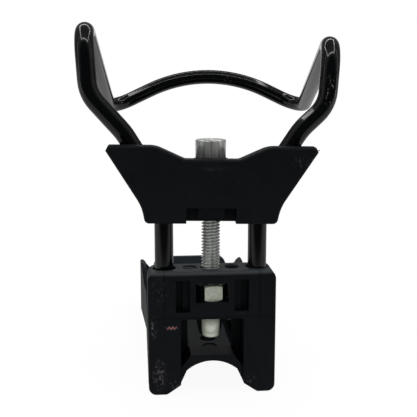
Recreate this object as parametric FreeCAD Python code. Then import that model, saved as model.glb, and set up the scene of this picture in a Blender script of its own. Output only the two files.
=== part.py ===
import FreeCAD, Part
import math
import os

from FreeCAD import Vector

# Adjustable bottle cage: a wire loop and its moulded cradle ride up and down
# on a guide block as the long adjusting bolt is turned in a captive nut.
# X is to the right, Y runs along the bottle towards its base, Z is up.
# The base and the bolt are drawn about the bolt's axis at the level of the feet,
# and the wire and the cradle about that axis at the seat of the bolt's head.
# Each is moved at the end, so that the origin is midway between the two screw holes.

# Wire loop, with its heights above the seat of the bolt's head
WIRE_D = 6.0
ROD_SPACING = 30.0
ROD_END_GAP = 4.0
ROD_END_BEVEL = 0.8
RISE_BEND_Z = -11.5
RISE_BEND_R = 10.0
EXIT_R = 20.0
SHOULDER_R = 11.0
EAR_R = 8.0
STRAP_CORNER_R = 9.0
STRAP_ARCH_R = 59.0
STRAP_Y = 99.0
STRAP_TOP_X = 4.1
STRAP_TOP_Z = 31.7

# The two arms differ, because the loop is sprung: the right one is bent low and outwards
LEFT_ARM = {"exit": (27.2, 8.2), "shoulder": (37.9, 20.2), "ear": (39.1, 42.2), "strap": (39.2, 11.3)}
RIGHT_ARM = {"exit": (28.5, 9.0), "shoulder": (36.6, 16.6), "ear": (37.8, 37.4), "strap": (46.1, 11.6)}

# Guide block, which is the near end of the base
BLOCK_H = 40.8
GUIDE_PLAY_DEG = 2.5
GUIDE_CLEARANCE = 0.1
GUIDE_OUTER_WALL = 1.75
GUIDE_INNER_WALL = 1.15
GUIDE_REAR_WALL = 1.05
GUIDE_FLOOR_Z = 4.0
BLOCK_TOP_R = 3.0
BLOCK_FOOT_R = 2.5
BLOCK_EDGE_R = 0.8
BOLT_TO_WALL = 0.4
REAR_OPENING_W = 14.8
TONGUE_TOP_W = 10.3
TONGUE_TIP_W = 6.6
TONGUE_LENGTH = 9.2
TONGUE_TIP_R = 3.0

# Pockets in the face and top of the block, measured down from its top
SLOT_INNER_X = 7.1
SLOT_OUTER_X = 11.65
SLOT_STEP_X = 9.4
SLOT_DROP = 2.8
SLOT_H = 10.4
SLOT_SHALLOW = 2.2
SLOT_DEEP = 3.6
WINDOW_W = 10.5
POCKET_DROP = 10.2
POCKET_H = 6.2
POCKET_FRONT_WALL = 0.8
POCKET_SIDE_PLAY = 0.33
POCKET_FRONT_PLAY = 0.2
NUT_WEB_T = 5.4
CORE_HOLE_D = 4.6
CORE_HOLE_LENGTH = 5.6
CORE_HOLE_X = 6.8
CORE_HOLE_DEPTH = 3.0

# Saddle under the base and the tray behind the block
SADDLE_R = 12.5
SADDLE_CROWN_Z = 10.9
HAUNCH_X = 8.2
KNEE_X = 10.3
KNEE_Z = 3.2
FOOT_IN_X = 15.0
FLOOR_T = 2.0
FLOOR_SIDE_T = 2.6
FLOOR_SHOULDER = 0.5
FLOOR_FLAT_W = 13.8
FLOOR_FRONT_Y = -5.3
TRAY_END_Y = 100.0
TRAY_WALL = 2.2
TRAY_FOOT_T = 2.4
RAIL_Z = 16.0
RIB_T = 1.6
RIB_Z = 9.0
RIB_COUNT = 3
FLARE_START_Y = 60.0
FLARE = 2.0
TRAY_CORNER_R = 2.0
EAR_Y = 89.0
EAR_TIP_Z = 23.0
EAR_RISE = 22.0
EAR_FALL = 6.0
EAR_SWEEP_R = 14.0
EAR_TIP_R = 0.8
EAR_GUSSET_T = 2.2
EAR_INNER_X = 14.5
EAR_SLOPE = 1.15
END_PLATE_W = 33.0
END_PLATE_Z = 20.7
END_PLATE_T = 2.0
END_PLATE_R = 4.5

# Screw holes in the tray's floor, for the bosses of a bicycle frame
SCREW_SPACING = 64.0
SCREW_HOLE_D = 5.5
ROD_TO_SCREW = 10.5
MARK_D = 5.0
MARK_DEPTH = 0.25
MARK_Y = 3.2

# Adjusting bolt and captive nut
BOLT_D = 6.0
BOLT_LENGTH = 58.4
BOLT_TIP_GAP = 4.7
BOLT_TIP_CHAMFER = 1.0
HEAD_D = 9.6
HEAD_H = 6.0
HEAD_EDGE = 0.45
SOCKET_AF = 5.0
SOCKET_DEPTH = 3.2
THREAD_CLEARANCE = 0.05
PASSAGE_CLEARANCE = 0.3
NUT_AF = 10.0
NUT_H = 5.0
NUT_BEVEL = 0.45
NUT_TURN_DEG = 6.0

# Cradle, with its heights above the seat of the bolt's head
CRADLE_BOTTOM_Z = -19.4
CRADLE_BOTTOM_W = 40.8
CRADLE_BOTTOM_R = 1.6
WAIST_W = 42.8
WAIST_Z = -14.1
WAIST_R = 14.0
WING_W = 64.3
WING_Z = 3.1
WING_TIP_T = 1.5
PLATEAU_X = 17.2
PLATEAU_R = 9.0
RIM_FLAT_W = 16.6
RIM_FLAT_Z = 0.6
RIM_KINK_R = 3.0
RIM_DEPTH = 6.0
RIM_DROP = 1.8
CRADLE_FRONT_BOTTOM = 9.0
CRADLE_FRONT_TOP = 11.5
CRADLE_REAR = 6.5
CRADLE_EDGE = 0.5
CRADLE_TILT_DEG = 0.8
HEAD_SEAT_CLEARANCE = 0.6
WIRE_SEAT_GAP = 0.15
NOTCH_W = 15.4
NOTCH_TOP_Z = -14.4
NOTCH_DEPTH = 5.0
BOSS_W = 8.2
BOSS_BOTTOM_Z = -17.9
BOSS_RECESS = 0.8
CORE_TOP_Z = -6.6
CORE_WALL = 2.0

# Worked out from the values above
wire_r = WIRE_D / 2
rod_x = ROD_SPACING / 2
guide_r = wire_r + rod_x * math.sin(math.radians(GUIDE_PLAY_DEG)) + GUIDE_CLEARANCE
block_x = rod_x + guide_r + GUIDE_OUTER_WALL
cavity_x = rod_x - guide_r - GUIDE_INNER_WALL
haunch_z = SADDLE_CROWN_Z - SADDLE_R + math.sqrt(SADDLE_R ** 2 - HAUNCH_X ** 2)
floor_z = SADDLE_CROWN_Z + FLOOR_T
pocket_floor_z = BLOCK_H - POCKET_DROP
pocket_top_z = pocket_floor_z + POCKET_H
cavity_top_z = pocket_floor_z - NUT_WEB_T
bolt_tip_z = floor_z + BOLT_TIP_GAP
head_seat_z = bolt_tip_z + BOLT_LENGTH
rod_end_z = GUIDE_FLOOR_Z + ROD_END_GAP
bolt_r = BOLT_D / 2
passage_r = bolt_r + PASSAGE_CLEARANCE
nut_corner_r = NUT_AF / math.sqrt(3)
pocket_x = nut_corner_r + POCKET_SIDE_PLAY
pocket_front_y = -nut_corner_r * math.cos(math.radians(30 - NUT_TURN_DEG)) - POCKET_FRONT_PLAY
block_front = POCKET_FRONT_WALL - pocket_front_y
block_rear = guide_r + GUIDE_REAR_WALL
rear_wall_y = bolt_r + BOLT_TO_WALL
first_screw_y = ROD_TO_SCREW
last_screw_y = ROD_TO_SCREW + SCREW_SPACING
plateau_z = WING_Z + WING_TIP_T
rim_rear_y = -CRADLE_FRONT_TOP + RIM_DEPTH
origin_shift = Vector(0, -(ROD_TO_SCREW + SCREW_SPACING / 2), -floor_z)
MARGIN = 1.0
ON_EDGE = 0.01


def box(x0, x1, y0, y1, z0, z1):
    return Part.makeBox(x1 - x0, y1 - y0, z1 - z0, Vector(x0, y0, z0))


def upright_cylinder(radius, x, y, z0, z1):
    return Part.makeCylinder(radius, z1 - z0, Vector(x, y, z0))


def both_sides(solid):
    """A solid on the right and its mirror image on the left."""
    return [solid, solid.mirror(Vector(0, 0, 0), Vector(1, 0, 0))]


def corner_arc(before, corner, after, radius):
    """Start, middle and end of the arc that rounds a corner."""
    to_before = (before - corner).normalize()
    to_after = (after - corner).normalize()
    half_angle = to_before.getAngle(to_after) / 2
    reach = radius / math.tan(half_angle)
    inwards = (to_before + to_after).normalize()
    middle = corner + inwards * (radius / math.sin(half_angle) - radius)
    return corner + to_before * reach, middle, corner + to_after * reach


def rounded_edges(corners, radii, closed):
    """Straight runs joined by tangent arcs, one at each corner with a radius."""
    count = len(corners)
    turns = []
    for index, (corner, radius) in enumerate(zip(corners, radii)):
        is_end = not closed and index in (0, count - 1)
        if radius == 0 or is_end:
            turns.append((corner, None, corner))
        else:
            turns.append(corner_arc(corners[index - 1], corner, corners[(index + 1) % count], radius))
    edges = []
    for index, (start, middle, end) in enumerate(turns):
        if middle is not None:
            edges.append(Part.Arc(start, middle, end).toShape())
        if not closed and index == count - 1:
            break
        following = turns[(index + 1) % count][0]
        edges.append(Part.makeLine(end, following))
    return edges


def prism(outline, to_point, travel):
    """Extrude a closed outline of (first, second, corner radius) along travel."""
    corners = [to_point(first, second) for first, second, radius in outline]
    radii = [radius for first, second, radius in outline]
    face = Part.Face(Part.Wire(rounded_edges(corners, radii, True)))
    return face.extrude(travel)


def front_prism(outline, y0, y1):
    """Prism of an outline seen from the front, given as (x, z, corner radius)."""
    return prism(outline, lambda x, z: Vector(x, y0, z), Vector(0, y1 - y0, 0))


def side_prism(outline, x0, x1):
    """Prism of an outline seen from the side, given as (y, z, corner radius)."""
    return prism(outline, lambda y, z: Vector(x0, y, z), Vector(x1 - x0, 0, 0))


def mirrored(half):
    """Whole outline from its right half, which runs from top to bottom."""
    return half + [(-x, z, radius) for x, z, radius in reversed(half)]


def hexagon_prism(across_flats, z0, z1):
    """Upright hexagonal prism on the bolt's axis with a flat facing the front."""
    corner_r = across_flats / math.sqrt(3)
    corners = []
    for step in range(7):
        angle = math.radians(60 * step)
        corners.append(Vector(corner_r * math.cos(angle), corner_r * math.sin(angle), z0))
    return Part.Face(Part.makePolygon(corners)).extrude(Vector(0, 0, z1 - z0))


def round_rod(corners, radii, radius):
    """Round bar along straight runs and tangent arcs."""
    path = Part.Wire(rounded_edges(corners, radii, False))
    direction = corners[1] - corners[0]
    section = Part.Wire(Part.makeCircle(radius, corners[0], direction))
    return path.makePipeShell([section], True, False)


# Wire loop

def arm_corners(arm, side):
    """Corner points of one arm, from the end of its rod to the strap."""
    corners = [Vector(side * rod_x, 0, rod_end_z - head_seat_z), Vector(side * rod_x, 0, RISE_BEND_Z)]
    for name in ("exit", "shoulder", "ear"):
        x, z = arm[name]
        corners.append(Vector(side * x, 0, z))
    x, z = arm["strap"]
    corners.append(Vector(side * x, STRAP_Y, z))
    return corners


ARM_RADII = [0, RISE_BEND_R, EXIT_R, SHOULDER_R, EAR_R, STRAP_CORNER_R]


def wire_frame():
    left = arm_corners(LEFT_ARM, -1)
    right = arm_corners(RIGHT_ARM, 1)
    crest = Vector(STRAP_TOP_X, STRAP_Y, STRAP_TOP_Z)
    corners = left + [crest] + right[::-1]
    radii = ARM_RADII + [STRAP_ARCH_R] + ARM_RADII[::-1]
    wire = round_rod(corners, radii, wire_r)
    ends = [edge for edge in wire.Edges if edge.BoundBox.ZMax < rod_end_z - head_seat_z + ON_EDGE]
    return wire.makeChamfer(ROD_END_BEVEL, ends)


def wire_seats():
    """Room for the wire inside the cradle, a little wider than the wire."""
    seats = []
    for arm, side in ((LEFT_ARM, -1), (RIGHT_ARM, 1)):
        corners = arm_corners(arm, side)[:4]
        seats.append(round_rod(corners, ARM_RADII[:4], wire_r + WIRE_SEAT_GAP))
    return seats


# Base

def saddle_space():
    """The room for the bicycle's tube below the whole base."""
    y0 = -block_front - MARGIN
    y1 = TRAY_END_Y + MARGIN
    tube = Part.makeCylinder(SADDLE_R, y1 - y0, Vector(0, y0, SADDLE_CROWN_Z - SADDLE_R), Vector(0, 1, 0))
    crown = tube.common(box(-HAUNCH_X, HAUNCH_X, y0, y1, haunch_z - MARGIN, SADDLE_CROWN_Z + MARGIN))
    flank = [(HAUNCH_X, haunch_z, 0), (KNEE_X, KNEE_Z, 0), (FOOT_IN_X, 0, 0), (FOOT_IN_X, -MARGIN, 0)]
    return crown.fuse(front_prism(mirrored(flank), y0, y1)).removeSplitter()


def floor_web(y0, y1):
    """Floor over the tube, flat on top, with its sides coming down to the feet."""
    half = [
        (FLOOR_FLAT_W / 2, floor_z, 0),
        (HAUNCH_X + FLOOR_T, haunch_z + FLOOR_SHOULDER, 0),
        (KNEE_X + FLOOR_SIDE_T, 0, 0),
    ]
    return front_prism(mirrored(half), y0, y1)


def block_body():
    half = [(block_x, BLOCK_H, BLOCK_TOP_R), (block_x, 0, BLOCK_FOOT_R)]
    block = front_prism(mirrored(half), -block_front, block_rear)
    front_edges = [edge for edge in block.Edges if edge.BoundBox.YMax < -block_front + ON_EDGE]
    return block.makeFillet(BLOCK_EDGE_R, front_edges)


def block_cavity():
    """Opening through the block above the tube, with a tongue hanging in it."""
    cavity = box(-cavity_x, cavity_x, -block_front - MARGIN, rear_wall_y, -MARGIN, cavity_top_z)
    half_opening = REAR_OPENING_W / 2
    behind = block_rear + MARGIN
    opening = box(-half_opening, half_opening, rear_wall_y - MARGIN, behind, floor_z, cavity_top_z)
    half_tongue = [
        (TONGUE_TOP_W / 2, cavity_top_z + MARGIN, 0),
        (TONGUE_TIP_W / 2, cavity_top_z - TONGUE_LENGTH, TONGUE_TIP_R),
    ]
    tongue = front_prism(mirrored(half_tongue), rear_wall_y, behind)
    return cavity.fuse(opening.cut(tongue))


def block_pockets():
    """Slots beside the nut's window, the nut's pocket, and the core holes on top."""
    front = -block_front - MARGIN
    behind = block_rear + MARGIN
    above = BLOCK_H + MARGIN
    cutters = []
    slot_top_z = BLOCK_H - SLOT_DROP
    slot_bottom_z = slot_top_z - SLOT_H
    slot = box(SLOT_INNER_X, SLOT_STEP_X, front, -block_front + SLOT_SHALLOW, slot_bottom_z, slot_top_z)
    deep = box(SLOT_STEP_X, SLOT_OUTER_X, front, -block_front + SLOT_DEEP, slot_bottom_z, slot_top_z)
    cutters += both_sides(slot.fuse(deep))
    cutters.append(box(-pocket_x, pocket_x, pocket_front_y, behind, pocket_floor_z, pocket_top_z))
    cutters.append(box(-WINDOW_W / 2, WINDOW_W / 2, front, pocket_front_y, pocket_floor_z, pocket_top_z))
    cutters.append(upright_cylinder(passage_r, 0, 0, cavity_top_z - MARGIN, above))
    hole_r = CORE_HOLE_D / 2
    half_straight = CORE_HOLE_LENGTH / 2 - hole_r
    core_z0 = BLOCK_H - CORE_HOLE_DEPTH
    core = box(CORE_HOLE_X - hole_r, CORE_HOLE_X + hole_r, -half_straight, half_straight, core_z0, above)
    for end_y in (-half_straight, half_straight):
        core = core.fuse(upright_cylinder(hole_r, CORE_HOLE_X, end_y, core_z0, above))
    cutters += both_sides(core.removeSplitter())
    cutters += both_sides(upright_cylinder(guide_r, rod_x, 0, GUIDE_FLOOR_Z, above))
    return cutters


def tray_plan(z0, z1, inset):
    """The tray seen from above, drawn in by inset on every side but the front."""
    wide = block_x + FLARE - inset
    end_y = TRAY_END_Y - inset
    half = [
        (END_PLATE_W / 2 - inset / 2, end_y, TRAY_CORNER_R),
        (wide, EAR_Y + EAR_FALL / 2, TRAY_CORNER_R),
        (wide, EAR_Y - MARGIN, 0),
        (block_x - inset, FLARE_START_Y, 0),
        (block_x - inset, rear_wall_y, 0),
    ]
    return prism(mirrored(half), lambda x, y: Vector(x, y, z0), Vector(0, 0, z1 - z0))


def tray_side():
    """The tray seen from the side: low rails that rise into an ear at the far end."""
    outline = [
        (rear_wall_y, 0, 0),
        (rear_wall_y, RAIL_Z, 0),
        (EAR_Y - EAR_RISE, RAIL_Z, EAR_SWEEP_R),
        (EAR_Y - EAR_TIP_R, EAR_TIP_Z, EAR_TIP_R),
        (EAR_Y + EAR_TIP_R, EAR_TIP_Z, EAR_TIP_R),
        (EAR_Y + EAR_FALL, RAIL_Z, 0),
        (TRAY_END_Y, RAIL_Z, 0),
        (TRAY_END_Y, 0, 0),
    ]
    reach = block_x + FLARE + MARGIN
    return side_prism(outline, -reach, reach)


def ear_slopes(y0, y1):
    """All that lies below the slopes from the ears' tips down towards the middle."""
    wide = block_x + FLARE
    low_z = EAR_TIP_Z - EAR_SLOPE * (wide - EAR_INNER_X)
    half = [(EAR_INNER_X, low_z, 0), (wide, EAR_TIP_Z, EAR_TIP_R), (wide, 0, 0)]
    return front_prism(mirrored(half), y0, y1)


def tray_ears():
    """Gussets that stiffen the ears from inside."""
    slab = ear_slopes(EAR_Y - EAR_GUSSET_T / 2, EAR_Y + EAR_GUSSET_T / 2)
    outside = box(EAR_INNER_X, block_x + FLARE, 0, TRAY_END_Y, 0, EAR_TIP_Z)
    return both_sides(slab.common(outside))


def tray_ribs():
    """Cross ribs in the gutters on both sides of the floor."""
    ribs = []
    pitch = (FLARE_START_Y - block_rear) / RIB_COUNT
    for index in range(RIB_COUNT):
        y = block_rear + pitch * (index + 1)
        ribs += both_sides(box(KNEE_X, block_x - TRAY_WALL / 2, y - RIB_T / 2, y + RIB_T / 2, 0, RIB_Z))
    return ribs


def end_plate():
    half = [(END_PLATE_W / 2, END_PLATE_Z, END_PLATE_R), (END_PLATE_W / 2, 0, 0)]
    return front_prism(mirrored(half), TRAY_END_Y - END_PLATE_T, TRAY_END_Y)


def tray_body():
    shell = tray_plan(0, EAR_TIP_Z + MARGIN, 0).common(tray_side())
    shell = shell.common(ear_slopes(0, TRAY_END_Y))
    hollow = tray_plan(TRAY_FOOT_T, EAR_TIP_Z + 2 * MARGIN, TRAY_WALL)
    shell = shell.cut(hollow)
    ears = [ear.common(tray_plan(0, EAR_TIP_Z, 0)) for ear in tray_ears()]
    web = floor_web(rear_wall_y, TRAY_END_Y)
    return shell.multiFuse([web, end_plate()] + ears + tray_ribs())


def base():
    block = block_body().cut(block_cavity())
    inner_web = floor_web(FLOOR_FRONT_Y, block_rear)
    inner_web = inner_web.common(box(-block_x, block_x, FLOOR_FRONT_Y, block_rear, 0, floor_z))
    tray = tray_body().cut(box(-block_x, block_x, 0, block_rear - MARGIN / 2, floor_z, BLOCK_H))
    body = block.multiFuse([inner_web, tray])
    cutters = [saddle_space()] + block_pockets()
    for screw_y in (first_screw_y, last_screw_y):
        cutters.append(upright_cylinder(SCREW_HOLE_D / 2, 0, screw_y, 0, floor_z + MARGIN))
    cutters.append(upright_cylinder(MARK_D / 2, 0, MARK_Y, floor_z - MARK_DEPTH, floor_z + MARGIN))
    return body.cut(cutters).removeSplitter()


# Captive nut

def captive_nut():
    top_z = pocket_floor_z + NUT_H
    nut = hexagon_prism(NUT_AF, pocket_floor_z, top_z)
    profile = [
        Vector(0, 0, pocket_floor_z),
        Vector(NUT_AF / 2, 0, pocket_floor_z),
        Vector(nut_corner_r, 0, pocket_floor_z + NUT_BEVEL),
        Vector(nut_corner_r, 0, top_z - NUT_BEVEL),
        Vector(NUT_AF / 2, 0, top_z),
        Vector(0, 0, top_z),
    ]
    edges = rounded_edges(profile, [0] * len(profile), True)
    turned = Part.Face(Part.Wire(edges)).revolve(Vector(0, 0, 0), Vector(0, 0, 1), 360)
    nut = nut.common(turned)
    bore_r = bolt_r + THREAD_CLEARANCE
    nut = nut.cut(upright_cylinder(bore_r, 0, 0, pocket_floor_z - MARGIN, top_z + MARGIN))
    nut.rotate(Vector(0, 0, 0), Vector(0, 0, 1), NUT_TURN_DEG)
    return nut


# Adjusting bolt

def adjusting_bolt():
    top_z = head_seat_z + HEAD_H
    head_r = HEAD_D / 2
    profile = [
        Vector(0, 0, bolt_tip_z),
        Vector(bolt_r - BOLT_TIP_CHAMFER, 0, bolt_tip_z),
        Vector(bolt_r, 0, bolt_tip_z + BOLT_TIP_CHAMFER),
        Vector(bolt_r, 0, head_seat_z),
        Vector(head_r, 0, head_seat_z),
        Vector(head_r, 0, top_z - HEAD_EDGE),
        Vector(head_r - HEAD_EDGE, 0, top_z),
        Vector(0, 0, top_z),
    ]
    edges = rounded_edges(profile, [0] * len(profile), True)
    bolt = Part.Face(Part.Wire(edges)).revolve(Vector(0, 0, 0), Vector(0, 0, 1), 360)
    return bolt.cut(hexagon_prism(SOCKET_AF, top_z - SOCKET_DEPTH, top_z + MARGIN))


# Cradle

def cradle_outer():
    """The moulding without its holes: a tall rim in front of a lower deck."""
    half = [
        (RIM_FLAT_W / 2, RIM_FLAT_Z, RIM_KINK_R),
        (PLATEAU_X, plateau_z, PLATEAU_R),
        (WING_W / 2 - WING_TIP_T / 2, plateau_z, 0),
        (WING_W / 2, WING_Z, 0),
        (WAIST_W / 2, WAIST_Z, WAIST_R),
        (CRADLE_BOTTOM_W / 2, CRADLE_BOTTOM_Z, CRADLE_BOTTOM_R),
    ]
    front_view = front_prism(mirrored(half), -CRADLE_FRONT_TOP - MARGIN, CRADLE_REAR + MARGIN)
    top_z = plateau_z + MARGIN
    lowered = front_view.translated(Vector(0, 0, -RIM_DROP))
    above_deck = box(-WING_W, WING_W, rim_rear_y, CRADLE_REAR + MARGIN, WAIST_Z, top_z).cut(lowered)
    side_view = side_prism([
        (-CRADLE_FRONT_BOTTOM, CRADLE_BOTTOM_Z - MARGIN, 0),
        (-CRADLE_FRONT_TOP, top_z, 0),
        (CRADLE_REAR, top_z, 0),
        (CRADLE_REAR, CRADLE_BOTTOM_Z - MARGIN, 0),
    ], -WING_W, WING_W)
    outer = front_view.common(side_view)
    outline_edges = []
    for edge in outer.Edges:
        in_front = edge.BoundBox.YMax < -CRADLE_FRONT_BOTTOM + CRADLE_EDGE
        if in_front:
            outline_edges.append(edge)
    return outer.makeChamfer(CRADLE_EDGE, outline_edges).cut(above_deck)


def cradle():
    body = cradle_outer()
    notch_x = NOTCH_W / 2
    notch_y = -CRADLE_FRONT_BOTTOM + NOTCH_DEPTH
    front = -CRADLE_FRONT_TOP - MARGIN
    notch = box(-notch_x, notch_x, front, notch_y, CRADLE_BOTTOM_Z - MARGIN, NOTCH_TOP_Z)
    boss_x = BOSS_W / 2
    boss_front = -CRADLE_FRONT_BOTTOM + BOSS_RECESS
    boss = box(-boss_x, boss_x, boss_front, notch_y, BOSS_BOTTOM_Z, NOTCH_TOP_Z)
    body = body.cut(notch.cut(boss))
    core_in = passage_r + CORE_WALL
    core_out = rod_x - wire_r - WIRE_SEAT_GAP - CORE_WALL
    core_rear = CRADLE_REAR - CORE_WALL
    core = box(core_in, core_out, notch_y + CORE_WALL, core_rear, CRADLE_BOTTOM_Z - MARGIN, CORE_TOP_Z)
    body = body.cut(both_sides(core))
    body.rotate(Vector(0, 0, 0), Vector(0, 1, 0), CRADLE_TILT_DEG)
    seat_r = HEAD_D / 2 + HEAD_SEAT_CLEARANCE
    body = body.fuse(upright_cylinder(seat_r, 0, 0, RIM_FLAT_Z - RIM_DROP - MARGIN, 0))
    cutters = wire_seats()
    cutters.append(upright_cylinder(passage_r, 0, 0, CRADLE_BOTTOM_Z - 2 * MARGIN, plateau_z))
    cutters.append(upright_cylinder(seat_r, 0, 0, 0, plateau_z + MARGIN))
    return body.cut(cutters).removeSplitter()


# Placing and writing

def carried(solid):
    """A solid of the carriage on its seat under the bolt's head, turned in its guides."""
    solid.translate(Vector(0, 0, head_seat_z))
    solid.rotate(Vector(0, 0, 0), Vector(0, 0, 1), -GUIDE_PLAY_DEG)
    return solid


def write(name, solid):
    """Move a solid to the origin and save it."""
    solid.translate(origin_shift)
    solid.exportStep(os.path.join("parts", name + ".step"))
    print(name, "solids", len(solid.Solids), "volume", round(solid.Volume, 1), "valid", solid.isValid())


os.makedirs("parts", exist_ok=True)
write("base", base())
write("captive_nut", captive_nut())
write("wire_frame", carried(wire_frame()))
write("cradle", carried(cradle()))
write("adjusting_bolt", adjusting_bolt())
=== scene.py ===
import math

import bmesh
import bpy
from mathutils import Matrix, Vector


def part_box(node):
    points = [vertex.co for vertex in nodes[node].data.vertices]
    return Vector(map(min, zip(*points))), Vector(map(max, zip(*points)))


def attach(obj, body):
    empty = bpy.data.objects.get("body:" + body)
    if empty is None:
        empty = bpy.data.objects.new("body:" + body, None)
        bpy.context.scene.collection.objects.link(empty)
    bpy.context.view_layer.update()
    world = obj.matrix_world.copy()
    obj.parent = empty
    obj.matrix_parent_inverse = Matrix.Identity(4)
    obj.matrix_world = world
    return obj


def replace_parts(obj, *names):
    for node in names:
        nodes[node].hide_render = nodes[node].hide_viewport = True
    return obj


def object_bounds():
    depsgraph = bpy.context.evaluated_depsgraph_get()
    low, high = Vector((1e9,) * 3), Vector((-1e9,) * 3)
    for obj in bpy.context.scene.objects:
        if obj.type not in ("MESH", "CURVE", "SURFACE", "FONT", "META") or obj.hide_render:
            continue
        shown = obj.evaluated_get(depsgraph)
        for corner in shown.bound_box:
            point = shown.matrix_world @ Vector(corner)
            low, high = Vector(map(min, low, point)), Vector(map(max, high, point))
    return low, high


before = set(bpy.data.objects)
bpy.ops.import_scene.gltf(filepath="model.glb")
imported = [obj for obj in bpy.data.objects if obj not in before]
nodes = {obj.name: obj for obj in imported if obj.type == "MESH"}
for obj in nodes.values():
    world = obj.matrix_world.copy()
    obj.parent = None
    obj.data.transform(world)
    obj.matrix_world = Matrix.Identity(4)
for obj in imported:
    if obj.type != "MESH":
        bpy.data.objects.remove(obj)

# The looks of an adjustable bottle cage: a glossy black wire loop, its moulded
# cradle and base, and the bright adjusting bolt with its captive nut.
# X is to the right, Y runs along the bottle, Z is up, all in metres.

MM = 0.001
cad_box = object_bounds()

# Camera, as the photograph was taken
CAMERA_AT = (-0.0228664, -0.2771294, 0.0881645)
CAMERA_YAW_DEG = 5.4
CAMERA_PITCH_DEG = 9.9
CAMERA_LENS_MM = 64.748
SENSOR_MM = 36.0

# Adjusting bolt, M6 with a coarse thread and a plain pilot tip
BOLT_D = 6.0 * MM
PITCH = 1.0 * MM
THREAD_DEPTH = 0.61 * MM
ROOT_FLAT = 0.25
FLANK = 0.3125
CREST_FLAT = 0.125
THREAD_STEPS = 48
PILOT_D = 5.8 * MM
PILOT_LENGTH = 6.5 * MM
POINT_D = 5.5 * MM
POINT_LENGTH = 1.6 * MM
POINT_ROUND = 0.7 * MM
POINT_ROUND_SIDE = 0.25
POINT_ROUND_RISE = 0.35
BOLT_OVERLAP = 0.3 * MM
HEAD_D = 9.6 * MM
HEAD_H = 6.0 * MM
HEAD_EDGE = 0.45 * MM
HEAD_EDGE_SHARE = 0.3
SOCKET_AF = 5.0 * MM
SOCKET_DEPTH = 3.2 * MM
SAME_PLACE = 1e-7

# Moulded nylon: sizes of its patterns, in millimetres
TONE_SIZE = 8.0
GRAIN_SIZE = 0.4
GRAIN_DEPTH = 0.05 * MM
SPECK_SCALE = 0.42
SPECK_STOPS = [(0.0, 0.9), (0.045, 0.5), (0.065, 0.0)]
SCUFF_SIZE = 0.5
SCUFF_RANGE = (0.52, 0.64)
# Painted light: over this range of Y the far end is painted lighter, standing in for the light on the far
# plate
FAR_LIGHT_RANGE_Y = (35.0, 56.0)
FAR_LIGHT_SHARE = 0.85
PATCH_CORE = 0.4

# Zigzag rub on the block, in millimetres
ZIGZAG_STEP = 0.55
ZIGZAG_SLOPE = 1.5
ZIGZAG_WIDTH = 0.4

# Wire and plating: sizes of their patterns, in millimetres
CHIP_SIZE = 0.6
CHIP_RANGE = (0.60, 0.66)
MOTTLE_SIZE = 0.9
MOTTLE_RANGE = (0.35, 0.65)
MOTTLE_DEPTH = 0.05 * MM
ZONE_METALLIC = 0.3

# Flash left by the moulds
CORE_HOLE_X = -6.8 * MM
CORE_FLASH_SIZE = (4.4 * MM, 1.5 * MM, 0.5 * MM)
CORE_FLASH_TURN_DEG = -28.0
WHISKER_LENGTH = 1.0 * MM
WHISKER_D = 0.5 * MM
WHISKER_DROP = 1.8 * MM
WHISKER_TURN_DEG = 80
WHISKER_SIDES = 8

# Light: a ring of LED bars on the ceiling, a strip on each side wall and a white sweep behind
RING_HEIGHT = 0.33
RING_SIZE = 0.33
RING_BAR = 0.018
RING_LEVEL = 7.0
PLAIN_LEVEL = 0.9
PAPER_LEVEL = 0.5
PAPER_FRONT_Y = -170.0
PAPER_FADE = 60.0
PAPER_HALF = 3.0
SHADOW_REACH = 260
SHADOW_KEPT = 0.94
ROOM_DARK = 0.03
ROOM_DIM = 0.15
ROOM_SIDE = 0.26
ROOM_WHITE = 0.9
ROOM_STOPS = [
    (0.0, ROOM_DARK),
    (0.16, ROOM_DARK),
    (0.3, ROOM_SIDE),
    (0.6, ROOM_DIM),
    (0.975, ROOM_DIM),
    (0.99, ROOM_WHITE),
]
STRIP_AT = (0.26, -0.06, 0.2)
STRIP_SIZE = (0.01, 0.4)
STRIP_LEVEL = 2.5


def linear(hex_colour):
    """An sRGB hex colour as a linear colour with full alpha."""
    channels = []
    for start in (1, 3, 5):
        value = int(hex_colour[start:start + 2], 16) / 255
        if value <= 0.04045:
            channels.append(value / 12.92)
        else:
            channels.append(((value + 0.055) / 1.055) ** 2.4)
    return (*channels, 1.0)


def add_node(tree, kind, settings=None, inputs=None, stops=None):
    """Add a node with its settings, its constants and the links that feed it."""
    node = tree.nodes.new(kind)
    for name, value in (settings or {}).items():
        setattr(node, name, value)
    for name, value in (inputs or {}).items():
        if isinstance(value, bpy.types.NodeSocket):
            tree.links.new(value, node.inputs[name])
        else:
            node.inputs[name].default_value = value
    for index, (position, level) in enumerate(stops or []):
        elements = node.color_ramp.elements
        element = elements[index] if index < len(elements) else elements.new(position)
        element.position = position
        element.color = (level, level, level, 1.0)
    return node


def new_material(name):
    """An empty material with its tree and its output node."""
    material = bpy.data.materials.new(name)
    material.use_nodes = True
    tree = material.node_tree
    tree.nodes.clear()
    return material, tree, tree.nodes.new("ShaderNodeOutputMaterial")


def give(piece, material):
    piece.data.materials.clear()
    piece.data.materials.append(material)


def object_mm(tree):
    """Object coordinates in millimetres."""
    coordinates = add_node(tree, "ShaderNodeTexCoord")
    scaled = add_node(tree, "ShaderNodeMapping", None, {
        "Vector": coordinates.outputs["Object"],
        "Scale": (1 / MM, 1 / MM, 1 / MM),
    })
    return scaled.outputs["Vector"]


def noise(tree, point, size_mm, detail, stretch=(1, 1, 1)):
    """Noise with features of a real size, longer where stretch is over 1."""
    scale = [1 / (size_mm * factor) for factor in stretch]
    placed = add_node(tree, "ShaderNodeMapping", None, {"Vector": point, "Scale": scale})
    made = add_node(tree, "ShaderNodeTexNoise", None, {
        "Vector": placed.outputs["Vector"],
        "Scale": 1.0,
        "Detail": detail,
    })
    return made.outputs["Fac"]


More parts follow.
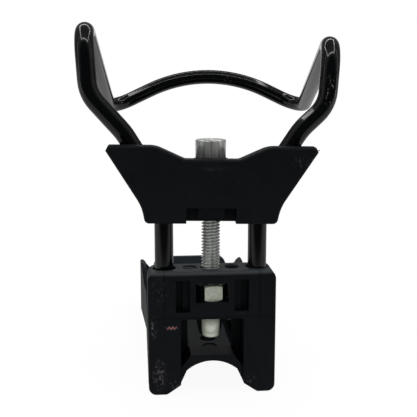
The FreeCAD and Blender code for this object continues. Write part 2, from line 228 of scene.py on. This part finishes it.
def patch(tree, point, centre, half_size):
    """1 in the middle of a soft-edged oval patch at a place in millimetres, 0 outside."""
    placed = add_node(tree, "ShaderNodeMapping", None, {
        "Vector": point,
        "Location": [-at / half for at, half in zip(centre, half_size)],
        "Scale": [1 / half for half in half_size],
    })
    distance = add_node(tree, "ShaderNodeVectorMath", {"operation": "LENGTH"}, {
        "Vector": placed.outputs["Vector"],
    })
    soft = add_node(tree, "ShaderNodeMapRange", None, {
        "Value": distance.outputs["Value"],
        "From Min": 1.0,
        "From Max": PATCH_CORE,
    })
    return soft.outputs["Result"]


def zigzag(tree, point, centre, half_size):
    """1 along a zigzag line across a patch at a place in millimetres, 0 outside."""
    parts = add_node(tree, "ShaderNodeSeparateXYZ", None, {"Vector": point})
    climb = add_node(tree, "ShaderNodeMath", {"operation": "PINGPONG"}, {
        0: parts.outputs["X"],
        1: ZIGZAG_STEP,
    })
    line = add_node(tree, "ShaderNodeMath", {"operation": "MULTIPLY_ADD"}, {
        0: climb.outputs["Value"],
        1: ZIGZAG_SLOPE,
        2: centre[2] - ZIGZAG_STEP * ZIGZAG_SLOPE / 2,
    })
    gap = add_node(tree, "ShaderNodeMath", {"operation": "SUBTRACT"}, {
        0: parts.outputs["Z"],
        1: line.outputs["Value"],
    })
    off = add_node(tree, "ShaderNodeMath", {"operation": "ABSOLUTE"}, {0: gap.outputs["Value"]})
    stroke = add_node(tree, "ShaderNodeMapRange", None, {
        "Value": off.outputs["Value"],
        "From Min": ZIGZAG_WIDTH,
        "From Max": ZIGZAG_WIDTH / 2,
    })
    kept = add_node(tree, "ShaderNodeMath", {"operation": "MULTIPLY"}, {
        0: stroke.outputs["Result"],
        1: patch(tree, point, centre, half_size),
    })
    return kept.outputs["Value"]


def marked(tree, colour, mask, mark_colour):
    """A colour with a mark of another colour over it."""
    mixed = add_node(tree, "ShaderNodeMix", {"data_type": "RGBA"}, {
        "Factor": mask,
        "A": colour,
        "B": linear(mark_colour),
    })
    return mixed.outputs["Result"]


# Materials

def moulded_nylon(name, scuffs, scratches, seams, painted_light_patches):
    """Glass-filled nylon, injection moulded: a matte blue-black with a fine grain and dust, and painted
    light on its far end.

    Scuffs are rubbed patches of (centre, half size, colour), in millimetres.
    Scratches are zigzag rubs of (centre, half size, colour), in millimetres.
    Seams are fine parting lines of (centre, half size), in millimetres.
    Painted light patches are painted lighter, standing in for the light that falls on them, as (centre,
    half size), in millimetres.
    """
    material, tree, output = new_material(name)
    point = object_mm(tree)
    colour = add_node(tree, "ShaderNodeMix", {"data_type": "RGBA"}, {
        "Factor": noise(tree, point, TONE_SIZE, 3.0),
        "A": linear("#05080b"),
        "B": linear("#0b1016"),
    }).outputs["Result"]
    speck = add_node(tree, "ShaderNodeTexVoronoi", None, {"Vector": point, "Scale": SPECK_SCALE})
    dust = add_node(tree, "ShaderNodeValToRGB", None, {"Fac": speck.outputs["Distance"]}, SPECK_STOPS)
    colour = marked(tree, colour, dust.outputs["Color"], "#34373a")
    for centre, half_size, scuff_colour in scuffs:
        rubbed = add_node(tree, "ShaderNodeMapRange", None, {
            "Value": noise(tree, point, SCUFF_SIZE, 4.0, (1, 1, 2)),
            "From Min": SCUFF_RANGE[0],
            "From Max": SCUFF_RANGE[1],
        })
        worn = add_node(tree, "ShaderNodeMath", {"operation": "MULTIPLY"}, {
            0: rubbed.outputs["Result"],
            1: patch(tree, point, centre, half_size),
        })
        colour = marked(tree, colour, worn.outputs["Value"], scuff_colour)
    # Painted light: from 35 to 56 mm along Y the nylon is painted lighter, standing in for the light on
    # the far plate
    far = add_node(tree, "ShaderNodeSeparateXYZ", None, {"Vector": point})
    far_light = add_node(tree, "ShaderNodeMapRange", None, {
        "Value": far.outputs["Y"],
        "From Min": FAR_LIGHT_RANGE_Y[0],
        "From Max": FAR_LIGHT_RANGE_Y[1],
        "To Max": FAR_LIGHT_SHARE,
    })
    colour = marked(tree, colour, far_light.outputs["Result"], "#353a3e")
    # Painted light: lighter patches where light falls, such as round the top of the block
    for centre, half_size in painted_light_patches:
        colour = marked(tree, colour, patch(tree, point, centre, half_size), "#373b3d")
    for centre, half_size, scratch_colour in scratches:
        colour = marked(tree, colour, zigzag(tree, point, centre, half_size), scratch_colour)
    for centre, half_size in seams:
        colour = marked(tree, colour, patch(tree, point, centre, half_size), "#010102")
    bump = add_node(tree, "ShaderNodeBump", None, {
        "Height": noise(tree, point, GRAIN_SIZE, 2.0),
        "Strength": 0.25,
        "Distance": GRAIN_DEPTH,
    })
    shader = add_node(tree, "ShaderNodeBsdfPrincipled", None, {
        "Base Color": colour,
        "Roughness": 0.5,
        "IOR": 1.5,
        "Specular IOR Level": 0.12,
        "Normal": bump.outputs["Normal"],
    })
    tree.links.new(shader.outputs[0], output.inputs["Surface"])
    return material


def black_wire_finish():
    """Black anodised alloy rod, polished and sealed: deep black, sharp reflections and a few chips."""
    material, tree, output = new_material("gloss_black_anodised_alloy")
    point = object_mm(tree)
    colour = linear("#030405")
    chipped = add_node(tree, "ShaderNodeMapRange", None, {
        "Value": noise(tree, point, CHIP_SIZE, 3.0, (1, 1, 2)),
        "From Min": CHIP_RANGE[0],
        "From Max": CHIP_RANGE[1],
    })
    for centre, half_size in WIRE_CHIPS:
        chip = add_node(tree, "ShaderNodeMath", {"operation": "MULTIPLY"}, {
            0: chipped.outputs["Result"],
            1: patch(tree, point, centre, half_size),
        })
        colour = marked(tree, colour, chip.outputs["Value"], "#54564f")
    shader = add_node(tree, "ShaderNodeBsdfPrincipled", None, {
        "Base Color": colour,
        "Roughness": 0.12,
        "IOR": 1.5,
    })
    tree.links.new(shader.outputs[0], output.inputs["Surface"])
    return material


def bright_plating(name, dark, light, metallic, roughness, reflection_streaks, dull_zone):
    """Zinc plated steel: a pale grey metal, mottled by handling and oil, with painted reflection streaks
    along its height.

    The matte and shade zone is (axis, place, from, to, colour): between the two distances in millimetres
    from the place on the axis, the plating turns matte and takes the colour; on the nut's sides it is
    painted shade.
    """
    dull_axis, dull_at, dull_from, dull_to, dull_colour = dull_zone
    material, tree, output = new_material(name)
    point = object_mm(tree)
    # Painted reflection: stretched along the height, the noise paints streaks of reflection, as on the
    # bolt's head
    mottle_and_reflection = noise(tree, point, MOTTLE_SIZE, 4.0, (1, 1, reflection_streaks))
    spread = add_node(tree, "ShaderNodeMapRange", None, {
        "Value": mottle_and_reflection,
        "From Min": MOTTLE_RANGE[0],
        "From Max": MOTTLE_RANGE[1],
    })
    colour = add_node(tree, "ShaderNodeMix", {"data_type": "RGBA"}, {
        "Factor": spread.outputs["Result"],
        "A": linear(dark),
        "B": linear(light),
    })
    # The zone turns the plating matte; on the nut's sides its colour is painted shade
    parts = add_node(tree, "ShaderNodeSeparateXYZ", None, {"Vector": point})
    away = add_node(tree, "ShaderNodeMath", {"operation": "SUBTRACT"}, {
        0: parts.outputs[dull_axis],
        1: dull_at,
    })
    place = add_node(tree, "ShaderNodeMath", {"operation": "ABSOLUTE"}, {0: away.outputs["Value"]})
    dull = add_node(tree, "ShaderNodeMapRange", None, {
        "Value": place.outputs["Value"],
        "From Min": dull_from,
        "From Max": dull_to,
    })
    shade = marked(tree, colour.outputs["Result"], dull.outputs["Result"], dull_colour)
    metal = add_node(tree, "ShaderNodeMapRange", None, {
        "Value": dull.outputs["Result"],
        "To Min": metallic,
        "To Max": ZONE_METALLIC,
    })
    bump = add_node(tree, "ShaderNodeBump", None, {
        "Height": mottle_and_reflection,
        "Strength": 0.2,
        "Distance": MOTTLE_DEPTH,
    })
    shader = add_node(tree, "ShaderNodeBsdfPrincipled", None, {
        "Base Color": shade,
        "Metallic": metal.outputs["Result"],
        "Roughness": roughness,
        "Normal": bump.outputs["Normal"],
    })
    tree.links.new(shader.outputs[0], output.inputs["Surface"])
    return material


# Pieces

def finished(shape, name, body, material):
    """Close a bmesh into a piece that rides on a body."""
    bmesh.ops.recalc_face_normals(shape, faces=shape.faces)
    data = bpy.data.meshes.new(name)
    shape.to_mesh(data)
    shape.free()
    piece = bpy.data.objects.new(name, data)
    bpy.context.scene.collection.objects.link(piece)
    give(piece, material)
    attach(piece, body)
    return piece


def spun(shape, profile, axis_at, steps, rise=0.0):
    """Spin a profile of (radius, height) once round an upright axis, with an even rise."""
    verts = [shape.verts.new((axis_at.x + radius, axis_at.y, height)) for radius, height in profile]
    edges = [shape.edges.new(pair) for pair in zip(verts, verts[1:])]
    bmesh.ops.spin(shape, geom=verts + edges, cent=axis_at, axis=(0, 0, 1), dvec=(0, 0, rise / steps),
                   angle=2 * math.pi, steps=steps, use_merge=rise == 0)
    bmesh.ops.remove_doubles(shape, verts=shape.verts, dist=SAME_PLACE)


def thread(shape, axis_at, low, high):
    """A helical thread between two heights, closed by flat ends."""
    turns = math.ceil((high - low) / PITCH) + 2
    root_r = BOLT_D / 2 - THREAD_DEPTH
    profile = []
    for turn in range(turns):
        foot = low + (turn - 2) * PITCH
        profile.append((root_r, foot))
        profile.append((root_r, foot + ROOT_FLAT * PITCH))
        profile.append((BOLT_D / 2, foot + (ROOT_FLAT + FLANK) * PITCH))
        profile.append((BOLT_D / 2, foot + (ROOT_FLAT + FLANK + CREST_FLAT) * PITCH))
    profile.append((root_r, low + (turns - 2) * PITCH))
    spun(shape, profile, axis_at, THREAD_STEPS, PITCH)
    for height, direction in ((low, -1), (high, 1)):
        bmesh.ops.bisect_plane(shape, geom=shape.verts[:] + shape.edges[:] + shape.faces[:],
                               plane_co=(0, 0, height), plane_no=(0, 0, direction),
                               clear_outer=True, dist=SAME_PLACE / 10)
        rim = []
        for edge in shape.edges:
            if edge.is_boundary and all(abs(vert.co.z - height) < SAME_PLACE * 10 for vert in edge.verts):
                rim.append(edge)
        bmesh.ops.holes_fill(shape, edges=rim, sides=0)


def joined(target, source):
    """Add one bmesh to another."""
    data = bpy.data.meshes.new("part")
    source.to_mesh(data)
    source.free()
    target.from_mesh(data)
    bpy.data.meshes.remove(data)


def threaded_bolt(material):
    """The bolt with a real thread, a head with a round socket, and a plain rounded tip."""
    low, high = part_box("adjusting_bolt")
    axis_at = Vector(((low.x + high.x) / 2, (low.y + high.y) / 2, 0))
    seat = high.z - HEAD_H
    pilot_top = low.z + PILOT_LENGTH
    bolt = bmesh.new()
    thread(bolt, axis_at, pilot_top, seat + BOLT_OVERLAP)
    head_r = HEAD_D / 2
    head = bmesh.new()
    socket_r = SOCKET_AF / 2
    spun(head, [
        (0, seat),
        (head_r - HEAD_EDGE / 2, seat),
        (head_r, seat + HEAD_EDGE / 2),
        (head_r, high.z - HEAD_EDGE),
        (head_r - HEAD_EDGE * HEAD_EDGE_SHARE, high.z - HEAD_EDGE * HEAD_EDGE_SHARE),
        (head_r - HEAD_EDGE, high.z),
        (socket_r + HEAD_EDGE, high.z),
        (socket_r, high.z - HEAD_EDGE),
        (socket_r, high.z - SOCKET_DEPTH),
        (0, high.z - SOCKET_DEPTH - HEAD_EDGE),
    ], axis_at, THREAD_STEPS)
    joined(bolt, head)
    tip = bmesh.new()
    point_r = POINT_D / 2
    spun(tip, [
        (0, low.z),
        (point_r - POINT_ROUND, low.z),
        (point_r - POINT_ROUND * POINT_ROUND_SIDE, low.z + POINT_ROUND * POINT_ROUND_RISE),
        (point_r, low.z + POINT_ROUND),
        (point_r, low.z + POINT_LENGTH - BOLT_OVERLAP / 2),
        (point_r - BOLT_OVERLAP / 2, low.z + POINT_LENGTH),
        (PILOT_D / 2, low.z + POINT_LENGTH + BOLT_OVERLAP / 2),
        (PILOT_D / 2, pilot_top),
        (0, pilot_top + BOLT_OVERLAP),
    ], axis_at, THREAD_STEPS)
    joined(bolt, tip)
    piece = finished(bolt, "threaded_bolt", "adjuster", material)
    for face in piece.data.polygons:
        face.use_smooth = True
    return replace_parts(piece, "adjusting_bolt")


def core_flash(material):
    """A thin web of flash that the mould left across the left core hole."""
    low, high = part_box("adjusting_bolt")
    axis_y = (low.y + high.y) / 2
    shape = bmesh.new()
    bmesh.ops.create_cube(shape, size=1.0)
    bmesh.ops.scale(shape, verts=shape.verts, vec=CORE_FLASH_SIZE)
    turn = Matrix.Rotation(math.radians(CORE_FLASH_TURN_DEG), 3, "Z")
    bmesh.ops.rotate(shape, verts=shape.verts, matrix=turn)
    top_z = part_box("base")[1].z
    bmesh.ops.translate(shape, verts=shape.verts, vec=(CORE_HOLE_X, axis_y, top_z - CORE_FLASH_SIZE[2]))
    return finished(shape, "core_flash", "base", material)


def tip_whisker(material):
    """A whisker of flash on the point of the cradle's right wing."""
    low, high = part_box("cradle")
    shape = bmesh.new()
    bmesh.ops.create_cone(shape, cap_ends=True, segments=WHISKER_SIDES, radius1=WHISKER_D / 2,
                          radius2=WHISKER_D / 8, depth=WHISKER_LENGTH)
    turn = Matrix.Rotation(math.radians(WHISKER_TURN_DEG), 3, "Y")
    bmesh.ops.rotate(shape, verts=shape.verts, matrix=turn)
    place = (high.x - WHISKER_LENGTH / 3, low.y + WHISKER_D, high.z - WHISKER_DROP)
    bmesh.ops.translate(shape, verts=shape.verts, vec=place)
    return finished(shape, "tip_whisker", "carriage", material)


# Studio

def light_bar(name, at, size, turn, level):
    """One LED bar. Unturned, it faces down."""
    data = bpy.data.lights.new(name, "AREA")
    data.shape = "RECTANGLE"
    data.size, data.size_y = size
    data.energy = level * math.pi * size[0] * size[1]
    lamp = bpy.data.objects.new(name, data)
    bpy.context.scene.collection.objects.link(lamp)
    lamp.location = at
    lamp.rotation_euler = turn
    lamp.visible_camera = False


def room_seen(tree, direction):
    """What gloss mirrors in a direction: dark in front, dim at the sides, white behind."""
    parts = add_node(tree, "ShaderNodeSeparateXYZ", None, {"Vector": direction})
    along = add_node(tree, "ShaderNodeMapRange", None, {
        "Value": parts.outputs["Y"],
        "From Min": -1.0,
        "From Max": 1.0,
    })
    ramp = add_node(tree, "ShaderNodeValToRGB", None, {"Fac": along.outputs["Result"]}, ROOM_STOPS)
    return ramp.outputs["Color"]


def studio():
    """The lamps, and a world that lights plainly, shows white and is mirrored as a room."""
    half = RING_SIZE / 2
    down = (0, 0, 0)
    for side in (-1, 1):
        light_bar("ring_end", (0, side * half, RING_HEIGHT), (RING_SIZE, RING_BAR), down, RING_LEVEL)
        light_bar("ring_side", (side * half, 0, RING_HEIGHT), (RING_BAR, RING_SIZE), down, RING_LEVEL)
        strip_at = (side * STRIP_AT[0], STRIP_AT[1], STRIP_AT[2])
        inwards = (math.radians(90), 0, math.radians(side * 90))
        light_bar("wall_strip", strip_at, STRIP_SIZE, inwards, STRIP_LEVEL)

    world = bpy.data.worlds.new("studio")
    bpy.context.scene.world = world
    world.use_nodes = True
    tree = world.node_tree
    tree.nodes.clear()
    output = tree.nodes.new("ShaderNodeOutputWorld")
    direction = add_node(tree, "ShaderNodeTexCoord")
    room = room_seen(tree, direction.outputs["Generated"])
    path = add_node(tree, "ShaderNodeLightPath")
    lit = add_node(tree, "ShaderNodeMix", {"data_type": "RGBA"}, {
        "Factor": path.outputs["Is Glossy Ray"],
        "A": (PLAIN_LEVEL, PLAIN_LEVEL, PLAIN_LEVEL, 1),
        "B": room,
    })
    shown = add_node(tree, "ShaderNodeMix", {"data_type": "RGBA"}, {
        "Factor": path.outputs["Is Camera Ray"],
        "A": lit.outputs["Result"],
        "B": (1, 1, 1, 1),
    })
    background = add_node(tree, "ShaderNodeBackground", None, {
        "Color": shown.outputs["Result"],
        "Strength": 1.0,
    })
    tree.links.new(background.outputs[0], output.inputs["Surface"])


def floor():
    """Plain white floor that keeps the object's shadow, mirrored grey, and dark far in front."""
    shape = bmesh.new()
    bmesh.ops.create_grid(shape, x_segments=1, y_segments=1, size=PAPER_HALF)
    bmesh.ops.translate(shape, verts=shape.verts, vec=(0, 0, cad_box[0].z))
    data = bpy.data.meshes.new("studio_floor")
    shape.to_mesh(data)
    shape.free()
    piece = bpy.data.objects.new("studio_floor", data)
    bpy.context.scene.collection.objects.link(piece)
    material, tree, output = new_material("white_paper_sweep")
    point = object_mm(tree)
    path = add_node(tree, "ShaderNodeLightPath")
    parts = add_node(tree, "ShaderNodeSeparateXYZ", None, {"Vector": point})
    mirrored = add_node(tree, "ShaderNodeMapRange", None, {
        "Value": parts.outputs["Y"],
        "From Min": PAPER_FRONT_Y - PAPER_FADE,
        "From Max": PAPER_FRONT_Y,
        "To Min": ROOM_DARK,
        "To Max": PAPER_LEVEL,
    })
    near = patch(tree, point, (0, 0, 0), (SHADOW_REACH, SHADOW_REACH, SHADOW_REACH))
    kept = add_node(tree, "ShaderNodeMapRange", None, {
        "Value": near,
        "To Min": 1.0,
        "To Max": SHADOW_KEPT,
    })
    shown = add_node(tree, "ShaderNodeMix", {"data_type": "RGBA"}, {
        "Factor": path.outputs["Is Camera Ray"],
        "A": mirrored.outputs["Result"],
        "B": (1, 1, 1, 1),
    })
    glossy_or_camera = add_node(tree, "ShaderNodeMix", {"data_type": "FLOAT"}, {
        "Factor": path.outputs["Is Camera Ray"],
        "A": path.outputs["Is Glossy Ray"],
        "B": kept.outputs["Result"],
    })
    paper = add_node(tree, "ShaderNodeBsdfDiffuse", None, {"Color": linear("#fafafa")})
    white = add_node(tree, "ShaderNodeEmission", None, {
        "Color": shown.outputs["Result"],
        "Strength": 1.0,
    })
    blend = add_node(tree, "ShaderNodeMixShader", None, {
        0: glossy_or_camera.outputs["Result"],
        1: paper.outputs[0],
        2: white.outputs[0],
    })
    tree.links.new(blend.outputs[0], output.inputs["Surface"])
    give(piece, material)


def camera():
    """The camera, level but for its pitch, at the photograph's place."""
    data = bpy.data.cameras.new("camera")
    data.sensor_width = SENSOR_MM
    data.lens = CAMERA_LENS_MM
    eye = bpy.data.objects.new("camera", data)
    bpy.context.scene.collection.objects.link(eye)
    eye.location = CAMERA_AT
    eye.rotation_euler = (math.radians(90 - CAMERA_PITCH_DEG), 0, math.radians(-CAMERA_YAW_DEG))
    bpy.context.scene.camera = eye


# Marks of use, seams, and painted light and shade, at places in millimetres

BLOCK_SCUFFS = [
    ((-17.0, -48.8, 22.0), (3.5, 2.0, 6.0), "#1f2326"),
    ((-18.6, -48.8, 10.0), (1.8, 2.0, 4.0), "#454a4b"),
    ((-17.0, -48.8, -6.0), (2.6, 2.0, 6.0), "#4a4446"),
    ((-12.0, -48.8, -9.5), (2.4, 2.0, 1.8), "#3a3b3c"),
    ((12.5, -48.8, -8.5), (2.2, 2.0, 1.6), "#393637"),
]
BLOCK_SCRATCHES = [
    ((-13.0, -48.8, 9.7), (2.1, 2.0, 2.0), "#7c5652"),
]
BLOCK_SEAMS = [
    ((0.0, -48.8, 12.9), (40.0, 1.5, 0.22)),
    ((-15.2, -48.8, 20.5), (0.22, 1.5, 14.0)),
    ((15.2, -48.8, 20.5), (0.22, 1.5, 14.0)),
]
# Painted light: a band round the top of the block is painted lighter, standing in for the light on its
# top face
BLOCK_TOP_LIGHT = [
    ((0.0, -42.5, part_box("base")[1].z / MM), (60.0, 60.0, 1.4)),
]
CRADLE_SCUFFS = [
    ((27.0, -54.0, 63.0), (4.0, 3.0, 2.5), "#24282b"),
    ((0.0, -55.0, 61.0), (8.0, 3.0, 1.2), "#24282b"),
]
WIRE_CHIPS = [
    ((36.6, -46.0, 84.0), (3.0, 5.0, 6.0)),
    ((16.0, 56.0, 87.0), (3.0, 6.0, 4.0)),
]
# Painted shade: the nut's sides are painted near black, standing in for the shade of the pocket round
# them; the bolt's tip is matte plating
NUT_SIDE_SHADE = ("X", 0.52, 2.8, 2.95, "#0c0e10")
BOLT_TIP = ("Z", 0.0, 11.5, 11.0, "#cdd1c2")

bpy.context.scene.view_settings.view_transform = "Standard"
camera()
studio()
floor()
base_nylon = moulded_nylon("base_glass_filled_nylon", BLOCK_SCUFFS, BLOCK_SCRATCHES, BLOCK_SEAMS,
                           BLOCK_TOP_LIGHT)
cradle_nylon = moulded_nylon("cradle_glass_filled_nylon", CRADLE_SCUFFS, [], [], [])
give(nodes["base"], base_nylon)
give(nodes["cradle"], cradle_nylon)
give(nodes["wire_frame"], black_wire_finish())
nut_plate = bright_plating("nut_zinc_plate", "#aeb2a4", "#c4c8b9", 0.5, 0.45, 1, NUT_SIDE_SHADE)
give(nodes["captive_nut"], nut_plate)
# Painted reflection: the bolt's noise is stretched twelvefold into painted reflection streaks along its
# height
threaded_bolt(bright_plating("bolt_zinc_plate", "#a8aca8", "#f4f6f2", 0.8, 0.3, 12, BOLT_TIP))
core_flash(base_nylon)
tip_whisker(cradle_nylon)
